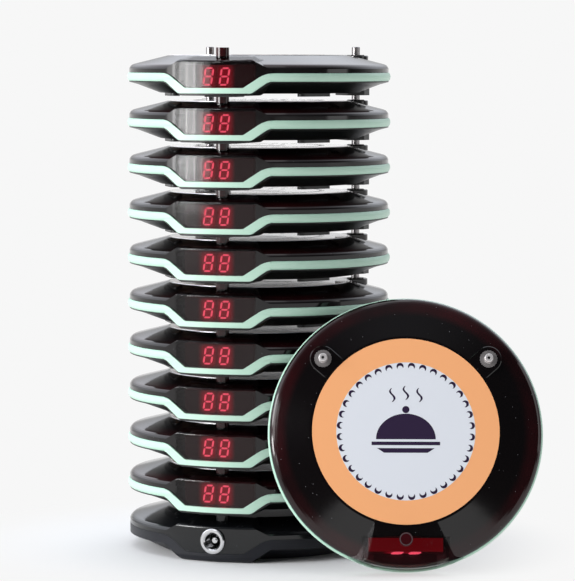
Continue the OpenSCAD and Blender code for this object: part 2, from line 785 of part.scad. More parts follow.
leaning() top_cover();  // front_pager_top_cover
leaning() light_ring();  // front_pager_light_ring
leaning() bottom_case();  // front_pager_bottom_case
leaning() label();  // front_pager_label
leaning() charging_pins();  // front_pager_charging_pins
leaning() contact_plates();  // front_pager_contact_plates
leaning() circuit_board();  // front_pager_circuit_board
leaning() display();  // front_pager_display
leaning() battery();  // front_pager_battery
leaning() vibration_motor();  // front_pager_vibration_motor
leaning() motor_weight(lean - 90);  // front_pager_motor_weight
leaning() screws();  // front_pager_screws
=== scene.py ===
"""Dresses the stack of guest pagers, its charging base and the leaning pager, and sets up the studio."""

import logging
import math
from dataclasses import dataclass, field
from enum import Enum
from typing import Callable, Optional, Sequence, Union

import bmesh
import bpy
from mathutils import Matrix, Vector


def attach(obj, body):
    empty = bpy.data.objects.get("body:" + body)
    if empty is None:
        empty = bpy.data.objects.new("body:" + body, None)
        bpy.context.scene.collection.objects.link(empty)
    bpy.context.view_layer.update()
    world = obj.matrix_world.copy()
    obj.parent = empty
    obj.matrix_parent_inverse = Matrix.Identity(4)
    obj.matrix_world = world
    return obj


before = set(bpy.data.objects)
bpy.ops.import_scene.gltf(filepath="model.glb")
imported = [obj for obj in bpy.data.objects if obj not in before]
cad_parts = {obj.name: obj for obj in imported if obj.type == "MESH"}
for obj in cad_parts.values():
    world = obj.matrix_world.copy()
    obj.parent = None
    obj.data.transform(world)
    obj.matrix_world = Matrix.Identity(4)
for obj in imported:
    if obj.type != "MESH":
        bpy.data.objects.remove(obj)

log = logging.getLogger("pagers")
MM = 0.001
PHOTO_SIZE = (575, 581)
SENSOR_MM = 36.0

Triple = tuple[float, float, float]
Colour = Triple
Point = tuple[float, float]


def srgb(red: int, green: int, blue: int) -> Colour:
    """Turns a colour written as on a screen into the linear values that shaders use.

    Args:
        red: Red, from 0 to 255.
        green: Green, from 0 to 255.
        blue: Blue, from 0 to 255.

    Returns:
        The linear colour.
    """
    def linear(level: int) -> float:
        """Undoes the screen's curve for one channel."""
        share = level / 255
        return share / 12.92 if share <= 0.04045 else ((share + 0.055) / 1.055) ** 2.4

    return linear(red), linear(green), linear(blue)


# ---------------------------------------------------------------- sizes and places


@dataclass(frozen=True)
class PagerForm:
    """Sizes of one pager in its own frame, in millimetres, with z = 0 at its feet."""

    height: float = 15.5
    pitch: float = 17.5
    label_radius: float = 34.5
    label_thickness: float = 0.25
    pin_circle: float = 40.8
    pin_angle: float = 131.4
    post_circle: float = 40.0
    screw_circle: float = 34.0
    screw_angles: tuple[float, ...] = (-80.0, 80.0, 180.0)
    display_reach: float = 44.0
    display_depth: float = 5.0
    display_high: float = 12.0
    digits_middle: float = -0.9

    def pins(self) -> list[Point]:
        """Gives the middle of each charging pin."""
        angle = math.radians(self.pin_angle)
        return [(side * self.pin_circle * math.sin(angle), -self.pin_circle * math.cos(angle))
                for side in (-1, 1)]

    def screws(self) -> list[Point]:
        """Gives the middle of each screw."""
        return [(self.screw_circle * math.sin(math.radians(a)),
                 -self.screw_circle * math.cos(math.radians(a))) for a in self.screw_angles]


PAGER = PagerForm()


@dataclass(frozen=True)
class Seat:
    """Where a pager or the base stands. It lies flat at a lean of 90 degrees, upright at 0."""

    body: str
    prefix: str
    place: Vector
    lean_deg: float = 90.0
    turn_deg: float = 0.0

    def matrix(self) -> Matrix:
        """Gives the transform from the pager's own frame in millimetres to the scene in metres."""
        turn = Matrix.Rotation(math.radians(self.turn_deg), 4, "Z")
        tip = Matrix.Rotation(math.radians(90.0 - self.lean_deg), 4, "X")
        return Matrix.Translation(self.place * MM) @ turn @ tip @ Matrix.Scale(MM, 4)


STACK_COUNT = 10
BASE = Seat("charging_base", "base_", Vector((0, 0, 0)))
STACK = [Seat(f"pager_{k:02d}", f"pager_{k:02d}_", Vector((0, 0, k * PAGER.pitch)))
         for k in range(1, STACK_COUNT + 1)]
LEANING = Seat("front_pager", "front_pager_", Vector((70.2704, -33.7190, 48.8314)), 14.5, 18.6)


# ---------------------------------------------------------------- shader maths


# Share of the specks' cells that stay bare
BARE_CELLS = 0.82


class Value:
    """A number that varies over a surface. Sums on it add Math nodes."""

    def __init__(self, graph: "Graph", socket: bpy.types.NodeSocket) -> None:
        """Wraps an output socket of the graph."""
        self.graph = graph
        self.socket = socket

    def _math(self, operation: str, *values: "Number", clamp: bool = False) -> "Value":
        """Adds one Math node on the given values, in order."""
        made = self.graph.node("ShaderNodeMath", {"operation": operation, "use_clamp": clamp},
                               dict(enumerate(values)))
        return Value(self.graph, made.outputs[0])

    def __add__(self, other: "Number") -> "Value":
        """Adds."""
        return self._math("ADD", self, other)

    __radd__ = __add__

    def __sub__(self, other: "Number") -> "Value":
        """Takes away."""
        return self._math("SUBTRACT", self, other)

    def __rsub__(self, other: "Number") -> "Value":
        """Takes this value away from another."""
        return self._math("SUBTRACT", other, self)

    def __mul__(self, other: "Number") -> "Value":
        """Multiplies."""
        return self._math("MULTIPLY", self, other)

    def __truediv__(self, other: "Number") -> "Value":
        """Divides."""
        return self._math("DIVIDE", self, other)

    def __mod__(self, step: "Number") -> "Value":
        """Gives the rest after division, never negative."""
        return self._math("FLOORED_MODULO", self, step)

    def __abs__(self) -> "Value":
        """Drops the sign."""
        return self._math("ABSOLUTE", self)

    def __lt__(self, other: "Number") -> "Value":
        """Gives 1 where this value is less, 0 elsewhere."""
        return self._math("LESS_THAN", self, other)

    def __gt__(self, other: "Number") -> "Value":
        """Gives 1 where this value is greater, 0 elsewhere."""
        return self._math("GREATER_THAN", self, other)

    def root(self) -> "Value":
        """Gives the square root."""
        return self._math("SQRT", self)

    def clamped(self) -> "Value":
        """Keeps the value between 0 and 1."""
        return self._math("ADD", self, 0.0, clamp=True)

    def least(self, other: "Number") -> "Value":
        """Gives the smaller of two."""
        return self._math("MINIMUM", self, other)

    def most(self, other: "Number") -> "Value":
        """Gives the larger of two."""
        return self._math("MAXIMUM", self, other)

    def ramp(self, low: float, high: float) -> "Value":
        """Goes smoothly from 0 at low to 1 at high, or the other way where low is the greater."""
        made = self.graph.node(
            "ShaderNodeMapRange", {"interpolation_type": "SMOOTHSTEP"},
            {"Value": self, "From Min": min(low, high), "From Max": max(low, high)})
        step = Value(self.graph, made.outputs["Result"])
        return step if low < high else 1 - step


Number = Union[Value, float, int]


@dataclass(frozen=True)
class Place:
    """A surface point in a pager's own frame, in millimetres."""

    x: Value
    y: Value
    z: Value

    def radius(self) -> Value:
        """Gives the distance from the pager's axis."""
        return (self.x * self.x + self.y * self.y).root()

    def distance(self, middle: Point) -> Value:
        """Gives the distance from an upright line through a point."""
        dx, dy = self.x - middle[0], self.y - middle[1]
        return (dx * dx + dy * dy).root()


class Graph:
    """A shader's node tree, and the one method that makes its nodes."""

    def __init__(self, tree: bpy.types.NodeTree) -> None:
        """Starts from an empty tree."""
        self.tree = tree
        tree.nodes.clear()

    def node(self, kind: str, settings: Optional[dict[str, object]] = None,
             inputs: Optional[dict[Union[str, int], object]] = None) -> bpy.types.Node:
        """Makes a node, sets it up, and then fills or links its sockets.

        Args:
            kind: The node's type.
            settings: Its own properties.
            inputs: Socket names or numbers, each with a number, a colour, a value or a socket.

        Returns:
            The node.
        """
        made = self.tree.nodes.new(kind)
        for name, setting in (settings or {}).items():
            setattr(made, name, setting)
        for name, value in (inputs or {}).items():
            self._fill(made.inputs[name], value)
        return made

    def _fill(self, socket: bpy.types.NodeSocket, value: object) -> None:
        """Links a socket to a value, or sets it."""
        if isinstance(value, Value):
            self.tree.links.new(value.socket, socket)
        elif isinstance(value, bpy.types.NodeSocket):
            self.tree.links.new(value, socket)
        elif isinstance(value, (tuple, list)) and socket.type == "RGBA" and len(value) == 3:
            socket.default_value = (*value, 1.0)
        else:
            socket.default_value = value

    def place(self, seat: Optional[Seat], turn_over_at: float = 0.0) -> Place:
        """Gives the surface point in a pager's own frame.

        Args:
            seat: The pager's seat, or None for any pager of the stack.
            turn_over_at: For the stack, the lowest height that counts as this pager's.

        Returns:
            The point, in millimetres.
        """
        point = self.node("ShaderNodeTexCoord").outputs["Object"]
        if seat is not None:
            point = self.node("ShaderNodeMapping", {"vector_type": "TEXTURE"}, {
                "Vector": point, "Location": seat.place * MM,
                "Rotation": (math.radians(90.0 - seat.lean_deg), 0.0, math.radians(seat.turn_deg)),
            }).outputs[0]
        parts = self.node("ShaderNodeSeparateXYZ", {}, {0: point})
        x, y, z = (Value(self, parts.outputs[i]) / MM for i in range(3))
        if seat is None:
            z = (z - turn_over_at) % PAGER.pitch + turn_over_at
        return Place(x, y, z)

    def noise(self, scale: float, detail: float = 2.0, stretch: Triple = (1, 1, 1),
              roughness: float = 0.5) -> Value:
        """Gives soft random noise in the scene's own frame.

        Args:
            scale: Size of the pattern, per metre.
            detail: How many finer layers it has.
            stretch: Factors along X, Y and Z.
            roughness: Weight of the finer layers.

        Returns:
            The noise, round 0.5.
        """
        point = self.node("ShaderNodeTexCoord").outputs["Object"]
        point = self.node("ShaderNodeMapping", {}, {"Vector": point, "Scale": stretch}).outputs[0]
        made = self.node("ShaderNodeTexNoise", {}, {
            "Vector": point, "Scale": scale, "Detail": detail, "Roughness": roughness})
        return Value(self, made.outputs[0])

    def specks(self, scale: float, size: float) -> Value:
        """Gives sparse round specks, 1 on a speck.

        Args:
            scale: How many cells there are per metre.
            size: Radius of a speck as a share of a cell.

        Returns:
            The mask.
        """
        point = self.node("ShaderNodeTexCoord").outputs["Object"]
        made = self.node("ShaderNodeTexVoronoi", {}, {"Vector": point, "Scale": scale})
        near = Value(self, made.outputs["Distance"]).ramp(size, size * 0.5)
        pick = self.node("ShaderNodeSeparateColor", {}, {0: made.outputs["Color"]})
        return near * (Value(self, pick.outputs[0]) > BARE_CELLS)

    def mix(self, share: Number, first: object, second: object) -> bpy.types.NodeSocket:
        """Mixes two colours.

        Args:
            share: 0 for the first colour, 1 for the second.
            first: A colour or a colour socket.
            second: A colour or a colour socket.

        Returns:
            The mixed colour's socket.
        """
        made = self.node("ShaderNodeMix", {"data_type": "RGBA"}, {0: share, 6: first, 7: second})
        return made.outputs[2]

    def bump(self, height: Value, strength: float, distance: float) -> bpy.types.NodeSocket:
        """Turns a height in its own units into a normal."""
        return self.node("ShaderNodeBump", {}, {
            "Height": height, "Strength": strength, "Distance": distance}).outputs[0]

    def surface(self, **inputs: object) -> None:
        """Ends the graph in one Principled shader with the named inputs, spaces written as _."""
        shader = self.node("ShaderNodeBsdfPrincipled", {},
                           {name.replace("_", " "): value for name, value in inputs.items()})
        self.node("ShaderNodeOutputMaterial", {}, {"Surface": shader.outputs[0]})


# ---------------------------------------------------------------- finishes


DUST = srgb(150, 150, 155)
PIN_TIP = srgb(150, 147, 148)
PIN_COLLAR = srgb(96, 93, 92)
DISPLAY_RED = srgb(30, 6, 8)
DISPLAY_LIT = srgb(120, 8, 14)
BOARD_GREEN = srgb(20, 82, 46)
BLACK: Colour = (0.0, 0.0, 0.0)
WIPED: Triple = (1.0, 0.25, 1.0)
ACRYLIC_IOR = 1.49
# Distance from a pin's middle, in millimetres, over which its tip gives way to its collar
COLLAR_STARTS: Point = (1.62, 1.75)


class Finish:
    """A finish that several pieces share. Its material is made once."""

    name = "finish"

    def __init__(self) -> None:
        """Starts with no material made."""
        self._made: Optional[bpy.types.Material] = None

    def material(self) -> bpy.types.Material:
        """Gives the material, and makes it the first time."""
        if self._made is None:
            self._made = bpy.data.materials.new(self.name)
            self._made.use_nodes = True
            self.paint(Graph(self._made.node_tree))
        return self._made

    def paint(self, graph: Graph) -> None:
        """Builds the shader."""
        raise NotImplementedError


class PagerFinish(Finish):
    """A finish that depends on where a point lies on a pager."""

    def __init__(self, seat: Optional[Seat]) -> None:
        """Takes the seat of one pager, or None for any pager of the stack."""
        super().__init__()
        self.seat = seat
        self.name = f"{self.name}_{seat.prefix.strip('_') if seat else 'stack'}"


class CoverGloss(PagerFinish):
    """Near-black cover with a painted dark red glow near its rim, where the light inside shows through,
    and a painted highlight on its post's rim; it is clear enough over the display to show its digits.

    Each pair is a soft limit in millimetres: its mask is 0 at the first and 1 at the second.
    """

    name = "cover_gloss"
    black: Colour = srgb(9, 6, 7)
    # Painted glow: red stands for the light inside, showing through the cover near its rim
    red: Colour = srgb(46, 9, 13)
    post_red: Colour = srgb(52, 8, 13)
    # Painted highlight: a pale grey ring on the post's rim stands in for the reflection on its bevel
    post_rim_highlight: Colour = srgb(92, 86, 88)
    lowest: float = 8.0
    red_glow_starts: Point = (43.0, 46.5)
    red_glow_ends: Point = (50.4, 49.0)
    post_side: Point = (2.9, 2.7)
    post_foot: float = 15.2
    post_top: float = 18.0
    # Limits of the painted highlight ring on the post's rim
    edge_starts: Point = (1.9, 2.1)
    post_rim_highlight_ends: Point = (2.5, 2.3)
    window_sides: Point = (16.4, 15.6)
    window_back: Point = (-38.2, -38.8)
    clearness: float = 0.42

    def paint(self, graph: Graph) -> None:
        """Builds the shader."""
        at = graph.place(self.seat, self.lowest)
        radius = at.radius()
        cloud = (graph.noise(scale=38.0, detail=3.0) * 1.8 - 0.5).clamped()
        # Painted red glow near the rim, where the light inside shows through the cover
        painted_red_glow = radius.ramp(*self.red_glow_starts) * radius.ramp(*self.red_glow_ends) * cloud
        away = at.distance((0.0, -PAGER.post_circle))
        post = away.ramp(*self.post_side) * (at.z > self.post_foot)
        # Painted highlight: edge is a pale ring round the post's top, in place of the bevel's reflection
        edge = away.ramp(*self.edge_starts) * away.ramp(*self.post_rim_highlight_ends) * (at.z > self.post_top)
        colour = graph.mix(painted_red_glow, self.black, self.red)
        colour = graph.mix(post, colour, self.post_red)
        colour = graph.mix(edge * 0.6, colour, self.post_rim_highlight)
        window = abs(at.x).ramp(*self.window_sides) * at.y.ramp(*self.window_back) * (1 - post)
        dust = graph.specks(scale=700.0, size=0.11)
        wear = graph.noise(scale=900.0, detail=2.0, stretch=WIPED)
        graph.surface(
            Base_Color=graph.mix(dust * 0.55, colour, DUST),
            Roughness=0.075 + wear * 0.05 + dust * 0.3,
            Normal=graph.bump(graph.noise(scale=120.0, detail=1.0), strength=0.05, distance=0.0004),
            Alpha=1 - window * self.clearness,
            IOR=ACRYLIC_IOR,
        )


class BaseCoverGloss(Finish):
    """Gloss black cover of the charging base."""

    name = "base_cover_gloss"
    black: Colour = srgb(14, 15, 17)

    def paint(self, graph: Graph) -> None:
        """Builds the shader."""
        dust = graph.specks(scale=650.0, size=0.11)
        wear = graph.noise(scale=900.0, detail=2.0, stretch=WIPED)
        graph.surface(
            Base_Color=graph.mix(dust * 0.5, self.black, DUST),
            Roughness=0.09 + wear * 0.06 + dust * 0.3,
            Normal=graph.bump(graph.noise(scale=120.0, detail=1.0), strength=0.05, distance=0.0004),
            IOR=ACRYLIC_IOR,
        )


class MintBand(PagerFinish):
    """Mint plastic of the light band, satin, with a soft mottle, deeper away from its bulge."""

    name = "mint_band"
    mint: Colour = srgb(189, 220, 203)
    deep: Colour = srgb(160, 208, 185)
    edge_starts: Point = (50.9, 50.2)

    def paint(self, graph: Graph) -> None:
        """Builds the shader."""
        at = graph.place(self.seat, 0.0)
        edge = at.radius().ramp(*self.edge_starts)
        mottle = graph.noise(scale=260.0, detail=3.0)
        share = (edge * 0.6 + (mottle - 0.5) * 0.35 + 0.15).clamped()
        graph.surface(
            Base_Color=graph.mix(share, self.mint, self.deep),
            Roughness=0.30 + graph.noise(scale=1500.0) * 0.12,
            Normal=graph.bump(graph.noise(scale=2200.0, detail=2.0), strength=0.06, distance=0.0002),
            IOR=ACRYLIC_IOR,
        )


class CaseBlack(PagerFinish):
    """Black moulded case with a fine grain, rubbed paler and rougher on the feet."""

    name = "case_black"
    dark: Colour = srgb(11, 14, 14)
    light: Colour = srgb(17, 20, 20)
    rubbed: Colour = srgb(28, 29, 30)
    foot_ends: Point = (0.5, 0.1)

    def paint(self, graph: Graph) -> None:
        """Builds the shader."""
        at = graph.place(self.seat, 0.0)
        foot = at.z.ramp(*self.foot_ends)
        grain = graph.noise(scale=2600.0, detail=3.0, roughness=0.6)
        colour = graph.mix((graph.noise(scale=90.0) * 0.8).clamped(), self.dark, self.light)
        graph.surface(
            Base_Color=graph.mix(foot * 0.4, colour, self.rubbed),
            Roughness=0.24 + grain * 0.12 + foot * 0.15,
            Normal=graph.bump(grain, strength=0.18, distance=0.00012),
            IOR=1.5,
        )


class BaseCaseSatin(Finish):
    """Satin charcoal case of the charging base, worn paler along its foot."""

    name = "base_case_satin"
    dark: Colour = srgb(24, 25, 30)
    light: Colour = srgb(32, 33, 39)
    worn_grey: Colour = srgb(66, 68, 74)
    worn_ends: Point = (1.2, 0.1)

    def paint(self, graph: Graph) -> None:
        """Builds the shader."""
        at = graph.place(BASE)
        grain = graph.noise(scale=2400.0, detail=3.0, roughness=0.6)
        worn = at.z.ramp(*self.worn_ends)
        colour = graph.mix((graph.noise(scale=60.0) * 0.9).clamped(), self.dark, self.light)
        graph.surface(
            Base_Color=graph.mix(worn * 0.35, colour, self.worn_grey),
            Roughness=0.36 + grain * 0.14,
            Normal=graph.bump(grain, strength=0.22, distance=0.00015),
            IOR=1.33,
        )


class Metal(Finish):
    """A metal with fine marks that run level round it, as a lathe leaves them."""

    marks_stretch: Triple = (0.15, 0.15, 1.0)

    def __init__(self, name: str, colour: Colour, roughness: float) -> None:
        """Takes the metal's name, colour and roughness."""
        super().__init__()
        self.name = name
        self.colour = colour
        self.roughness = roughness

    def paint(self, graph: Graph) -> None:
        """Builds the shader."""
        marks = graph.noise(scale=2500.0, detail=2.0, stretch=self.marks_stretch)
        graph.surface(
            Base_Color=graph.mix(marks * 0.35, self.colour, tuple(c * 0.6 for c in self.colour)),
            Metallic=1.0,
            Roughness=self.roughness + (marks - 0.5) * 0.14,
        )


class PinMetal(PagerFinish):
    """Charging pin: a bright tip with painted shade in its dimple, and a darker knurled collar."""

    name = "pin_metal"
    tip: Colour = srgb(226, 222, 222)
    collar: Colour = srgb(132, 128, 128)
    # Painted shade: a dark, less metallic disc at the tip's middle stands for the shade in its dimple
    dimple_shade: Colour = srgb(24, 22, 22)
    dimple_shade_ends: Point = (0.62, 0.45)
    dimple_shade_floor: float = PAGER.height + 2.6

    def paint(self, graph: Graph) -> None:
        """Builds the shader."""
        at = graph.place(self.seat)
        left, right = PAGER.pins()
        away = at.distance(left).least(at.distance(right))
        collar = away.ramp(*COLLAR_STARTS)
        # Painted shade in the tip's dimple
        painted_dimple_shade = away.ramp(*self.dimple_shade_ends) * (at.z > self.dimple_shade_floor)
        marks = graph.noise(scale=2600.0, detail=2.0)
        colour = graph.mix(collar, self.tip, self.collar)
        graph.surface(
            Base_Color=graph.mix(painted_dimple_shade, colour, self.dimple_shade),
            Metallic=0.55 - painted_dimple_shade * 0.4,
            Roughness=0.28 + collar * 0.1 + marks * 0.1,
        )


class Plain(Finish):
    """A moulded or coated finish with a light grain."""

    def __init__(self, name: str, colour: Colour, roughness: float, grain: float = 0.1) -> None:
        """Takes the finish's name, colour, roughness and the strength of its grain."""
        super().__init__()
        self.name = name
        self.colour = colour
        self.roughness = roughness
        self.grain = grain

    def paint(self, graph: Graph) -> None:
        """Builds the shader."""
        grain = graph.noise(scale=1800.0, detail=3.0)
        cloud = graph.noise(scale=140.0)
        graph.surface(
            Base_Color=graph.mix(cloud * 0.5, self.colour, tuple(c * 0.8 for c in self.colour)),
            Roughness=self.roughness + (grain - 0.5) * 0.12,
            Normal=graph.bump(grain, strength=self.grain, distance=0.00015),
        )


class Print(Finish):
    """Ink or film of the label, satin, with a faint print grain."""

    def __init__(self, name: str, colour: Colour, roughness: float = 0.1) -> None:
        """Takes the finish's name, colour and roughness."""
        super().__init__()
        self.name = name
        self.colour = colour
        self.roughness = roughness

    def paint(self, graph: Graph) -> None:
        """Builds the shader."""
        grain = graph.noise(scale=3000.0, detail=2.0)
        graph.surface(
            Base_Color=graph.mix(grain * 0.12, self.colour, tuple(c * 0.86 for c in self.colour)),
            Roughness=self.roughness + grain * 0.06,
            IOR=ACRYLIC_IOR,
            Coat_Weight=1.0,
            Coat_Roughness=0.06,
        )


@dataclass(frozen=True)
class DisplayGlow:
    """Light of a display module: a halo round its digits, and an upper side lit from within.

    Each pair is a soft limit in millimetres: its mask is 0 at the first and 1 at the second.
    """

    upper: float
    halo: Colour = (0.9, 0.0, 0.03)
    ground: Colour = (0.03, 0.0, 0.0)
    digit_away: float = 3.2
    digit_high: float = 7.6
    halo_across: Point = (4.6, 1.2)
    halo_upwards: Point = (5.6, 2.2)
    top_starts: Point = (PAGER.display_high - 0.12, PAGER.display_high - 0.02)

    def masks(self, graph: Graph, at: Place) -> tuple[Value, bpy.types.NodeSocket]:
        """Gives the display's lit upper side and the light that the whole module gives off.

        Args:
            graph: The shader's graph.
            at: The surface point in the pager's frame.

        Returns:
            The mask of the upper side, and the colour of the light.
        """
        top = at.z.ramp(*self.top_starts)
        across = abs(abs(at.x - PAGER.digits_middle) - self.digit_away).ramp(*self.halo_across)
        face = graph.mix(across * abs(at.z - self.digit_high).ramp(*self.halo_upwards),
                         self.ground, self.halo)
        return top, graph.mix(top, face, (self.upper, 0.0, self.upper * 0.017))


class DisplayBody(PagerFinish):
    """Display module: dark red filter at its front, its upper side lit from within."""

    name = "display_body"
    lowest: float = 2.0
    glow = DisplayGlow(upper=0.42)

    def paint(self, graph: Graph) -> None:
        """Builds the shader."""
        top, light = self.glow.masks(graph, graph.place(self.seat, self.lowest))
        graph.surface(
            Base_Color=graph.mix(top, DISPLAY_RED, DISPLAY_LIT),
            Roughness=0.3 + graph.noise(scale=800.0) * 0.1,
            Emission_Color=light,
            Emission_Strength=1.0,
        )


class DigitGlow(Finish):
    """Lit segment of a digit."""

    name = "digit_glow"
    body: Colour = srgb(200, 20, 40)
    bright: Colour = (1.0, 0.1, 0.17)
    dim: Colour = (0.8, 0.05, 0.1)
    strength: float = 4.6

    def paint(self, graph: Graph) -> None:
        """Builds the shader."""
        cloud = graph.noise(scale=900.0)
        graph.surface(
            Base_Color=self.body,
            Roughness=0.4,
            Emission_Color=graph.mix(cloud * 0.5, self.bright, self.dim),
            Emission_Strength=self.strength,
        )


class Electronics(PagerFinish):
    """Everything inside a stacked pager, told apart by where it lies, in millimetres."""

    name = "electronics"
    metal_grey: Colour = srgb(120, 120, 124)
    screw_grey: Colour = srgb(60, 60, 62)
    glow = DisplayGlow(upper=0.04)
    lowest: float = 1.35
    pin_reach: float = 3.6
    pin_foot: float = 9.75
    plate_top: float = 2.1
    screw_reach: float = 2.4
    screw_top: float = 13.0
    display_half: float = 14.0
    display_back: float = 1.0 - PAGER.display_reach + PAGER.display_depth
    board_foot: float = 8.35

    def paint(self, graph: Graph) -> None:
        """Builds the shader."""
        at = graph.place(self.seat, self.lowest)
        left, right = PAGER.pins()
        away = at.distance(left).least(at.distance(right))
        pin = (away < self.pin_reach) * (at.z > self.pin_foot)
        plate = (away < self.pin_reach) * (at.z < self.plate_top)
        collar = away.ramp(*COLLAR_STARTS)
        first, second, third = PAGER.screws()
        screw_away = at.distance(first).least(at.distance(second)).least(at.distance(third))
        screw = (screw_away < self.screw_reach) * (at.z < self.screw_top)
        display = (at.y < self.display_back) * (abs(at.x) < self.display_half)
        top, light = self.glow.masks(graph, at)
        board = (at.z > self.board_foot) * (1 - pin) * (1 - display) * (1 - screw)
        metal = (pin + plate + screw).clamped()
        colour = graph.mix(board, self.metal_grey, BOARD_GREEN)
        colour = graph.mix(screw, colour, self.screw_grey)
        colour = graph.mix((pin + plate).clamped(), colour, graph.mix(collar, PIN_TIP, PIN_COLLAR))
        colour = graph.mix(display, colour, DISPLAY_RED)
        marks = graph.noise(scale=2600.0, detail=2.0)
        graph.surface(
            Base_Color=graph.mix(top * display, colour, DISPLAY_LIT),
            Metallic=metal,
            Roughness=0.42 - metal * 0.2 + marks * 0.1,
            Emission_Color=graph.mix(display, BLACK, light),
            Emission_Strength=1.0,
        )


@dataclass
class Finishes:
    """All finishes, each made once."""

    cover: CoverGloss = field(default_factory=lambda: CoverGloss(None))
    leaning_cover: CoverGloss = field(default_factory=lambda: CoverGloss(LEANING))
    base_cover: BaseCoverGloss = field(default_factory=BaseCoverGloss)
    band: MintBand = field(default_factory=lambda: MintBand(None))
    leaning_band: MintBand = field(default_factory=lambda: MintBand(LEANING))
    case: CaseBlack = field(default_factory=lambda: CaseBlack(None))
    leaning_case: CaseBlack = field(default_factory=lambda: CaseBlack(LEANING))
    base_case: BaseCaseSatin = field(default_factory=BaseCaseSatin)
    electronics: Electronics = field(default_factory=lambda: Electronics(None))
    leaning_pins: PinMetal = field(default_factory=lambda: PinMetal(LEANING))
    base_pins: PinMetal = field(default_factory=lambda: PinMetal(BASE))
    plates: Metal = field(default_factory=lambda: Metal("contact_metal", srgb(198, 192, 184), 0.26))
    jack_plate: Metal = field(default_factory=lambda: Metal("jack_plate", srgb(222, 222, 224), 0.16))
    motor_can: Metal = field(default_factory=lambda: Metal("motor_can", srgb(180, 180, 182), 0.3))
    weight: Metal = field(default_factory=lambda: Metal("weight_metal", srgb(150, 146, 138), 0.45))
    screw: Metal = field(default_factory=lambda: Metal("screw_black_oxide", srgb(70, 70, 72), 0.35))
    jack_black: Plain = field(default_factory=lambda: Plain("jack_black", srgb(14, 14, 15), 0.4))
    rubber: Plain = field(default_factory=lambda: Plain("rubber_foot", srgb(22, 22, 22), 0.8, 0.4))
    board: Plain = field(default_factory=lambda: Plain("board_green", BOARD_GREEN, 0.35))
    battery: Plain = field(default_factory=lambda: Plain("battery_foil", srgb(150, 150, 155), 0.32))
    orange: Print = field(default_factory=lambda: Print("label_orange", srgb(252, 180, 125)))
    white: Print = field(default_factory=lambda: Print("label_white", srgb(228, 232, 240)))
    navy: Print = field(default_factory=lambda: Print("label_navy", srgb(48, 36, 62)))
    display: DisplayBody = field(default_factory=lambda: DisplayBody(LEANING))
    digit: DigitGlow = field(default_factory=DigitGlow)


# ---------------------------------------------------------------- mesh building


class Sheet:
    """Flat outlines raised to a small thickness, gathered into one mesh."""

    def __init__(self, name: str, seat: Seat, finishes: Sequence[Finish]) -> None:
        """Takes the piece's name, its seat and its finishes, in slot order."""
        self.name = name
        self.seat = seat
        self.finishes = finishes
        self.bm = bmesh.new()

    def slab(self, outline: Sequence[Point], low: float, high: float, finish: int,
             to_pager: Callable[[float, float, float], Vector]) -> None:
        """Adds a closed slab.

        Args:
            outline: The slab's outline, anticlockwise.
            low: Where it starts, across its plane.
            high: Where it ends.
            finish: The number of its finish.
            to_pager: Turns an outline's point and a height into the pager's frame.
        """
        rings = [[self.bm.verts.new(to_pager(u, v, w)) for u, v in outline] for w in (low, high)]
        faces = [self.bm.faces.new(rings[0][::-1]), self.bm.faces.new(rings[1])]
        count = len(outline)
        for i in range(count):
            j = (i + 1) % count
            faces.append(self.bm.faces.new((rings[0][i], rings[0][j], rings[1][j], rings[1][i])))
        for face in faces:
            face.material_index = finish

    def done(self) -> bpy.types.Object:
        """Ends the mesh, puts it in place and lets it ride on its body."""
        bmesh.ops.recalc_face_normals(self.bm, faces=self.bm.faces)
        mesh = bpy.data.meshes.new(self.name)
        self.bm.transform(self.seat.matrix())
        self.bm.to_mesh(mesh)
        self.bm.free()
        for finish in self.finishes:
            mesh.materials.append(finish.material())
        piece = bpy.data.objects.new(self.name, mesh)
        bpy.context.scene.collection.objects.link(piece)
        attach(piece, self.seat.body)
        return piece


def on_top(u: float, v: float, w: float) -> Vector:
    """Lays an outline on the flat top: u to the right, v away from the display, w upwards."""
    return Vector((u, v, w))


def circle(radius: float, count: int, middle: Point = (0.0, 0.0)) -> list[Point]:
    """Gives the points of a circle, anticlockwise."""
    return [(middle[0] + radius * math.cos(math.tau * i / count),
             middle[1] + radius * math.sin(math.tau * i / count)) for i in range(count)]


class Segment(Enum):
    """The seven segments of a digit, each as the ends of its middle line in a 1 by 2 cell."""

    TOP = ((0, 2), (1, 2))
    UPPER_LEFT = ((0, 1), (0, 2))
    UPPER_RIGHT = ((1, 1), (1, 2))
    MIDDLE = ((0, 1), (1, 1))
    LOWER_LEFT = ((0, 0), (0, 1))
    LOWER_RIGHT = ((1, 0), (1, 1))
    BOTTOM = ((0, 0), (1, 0))


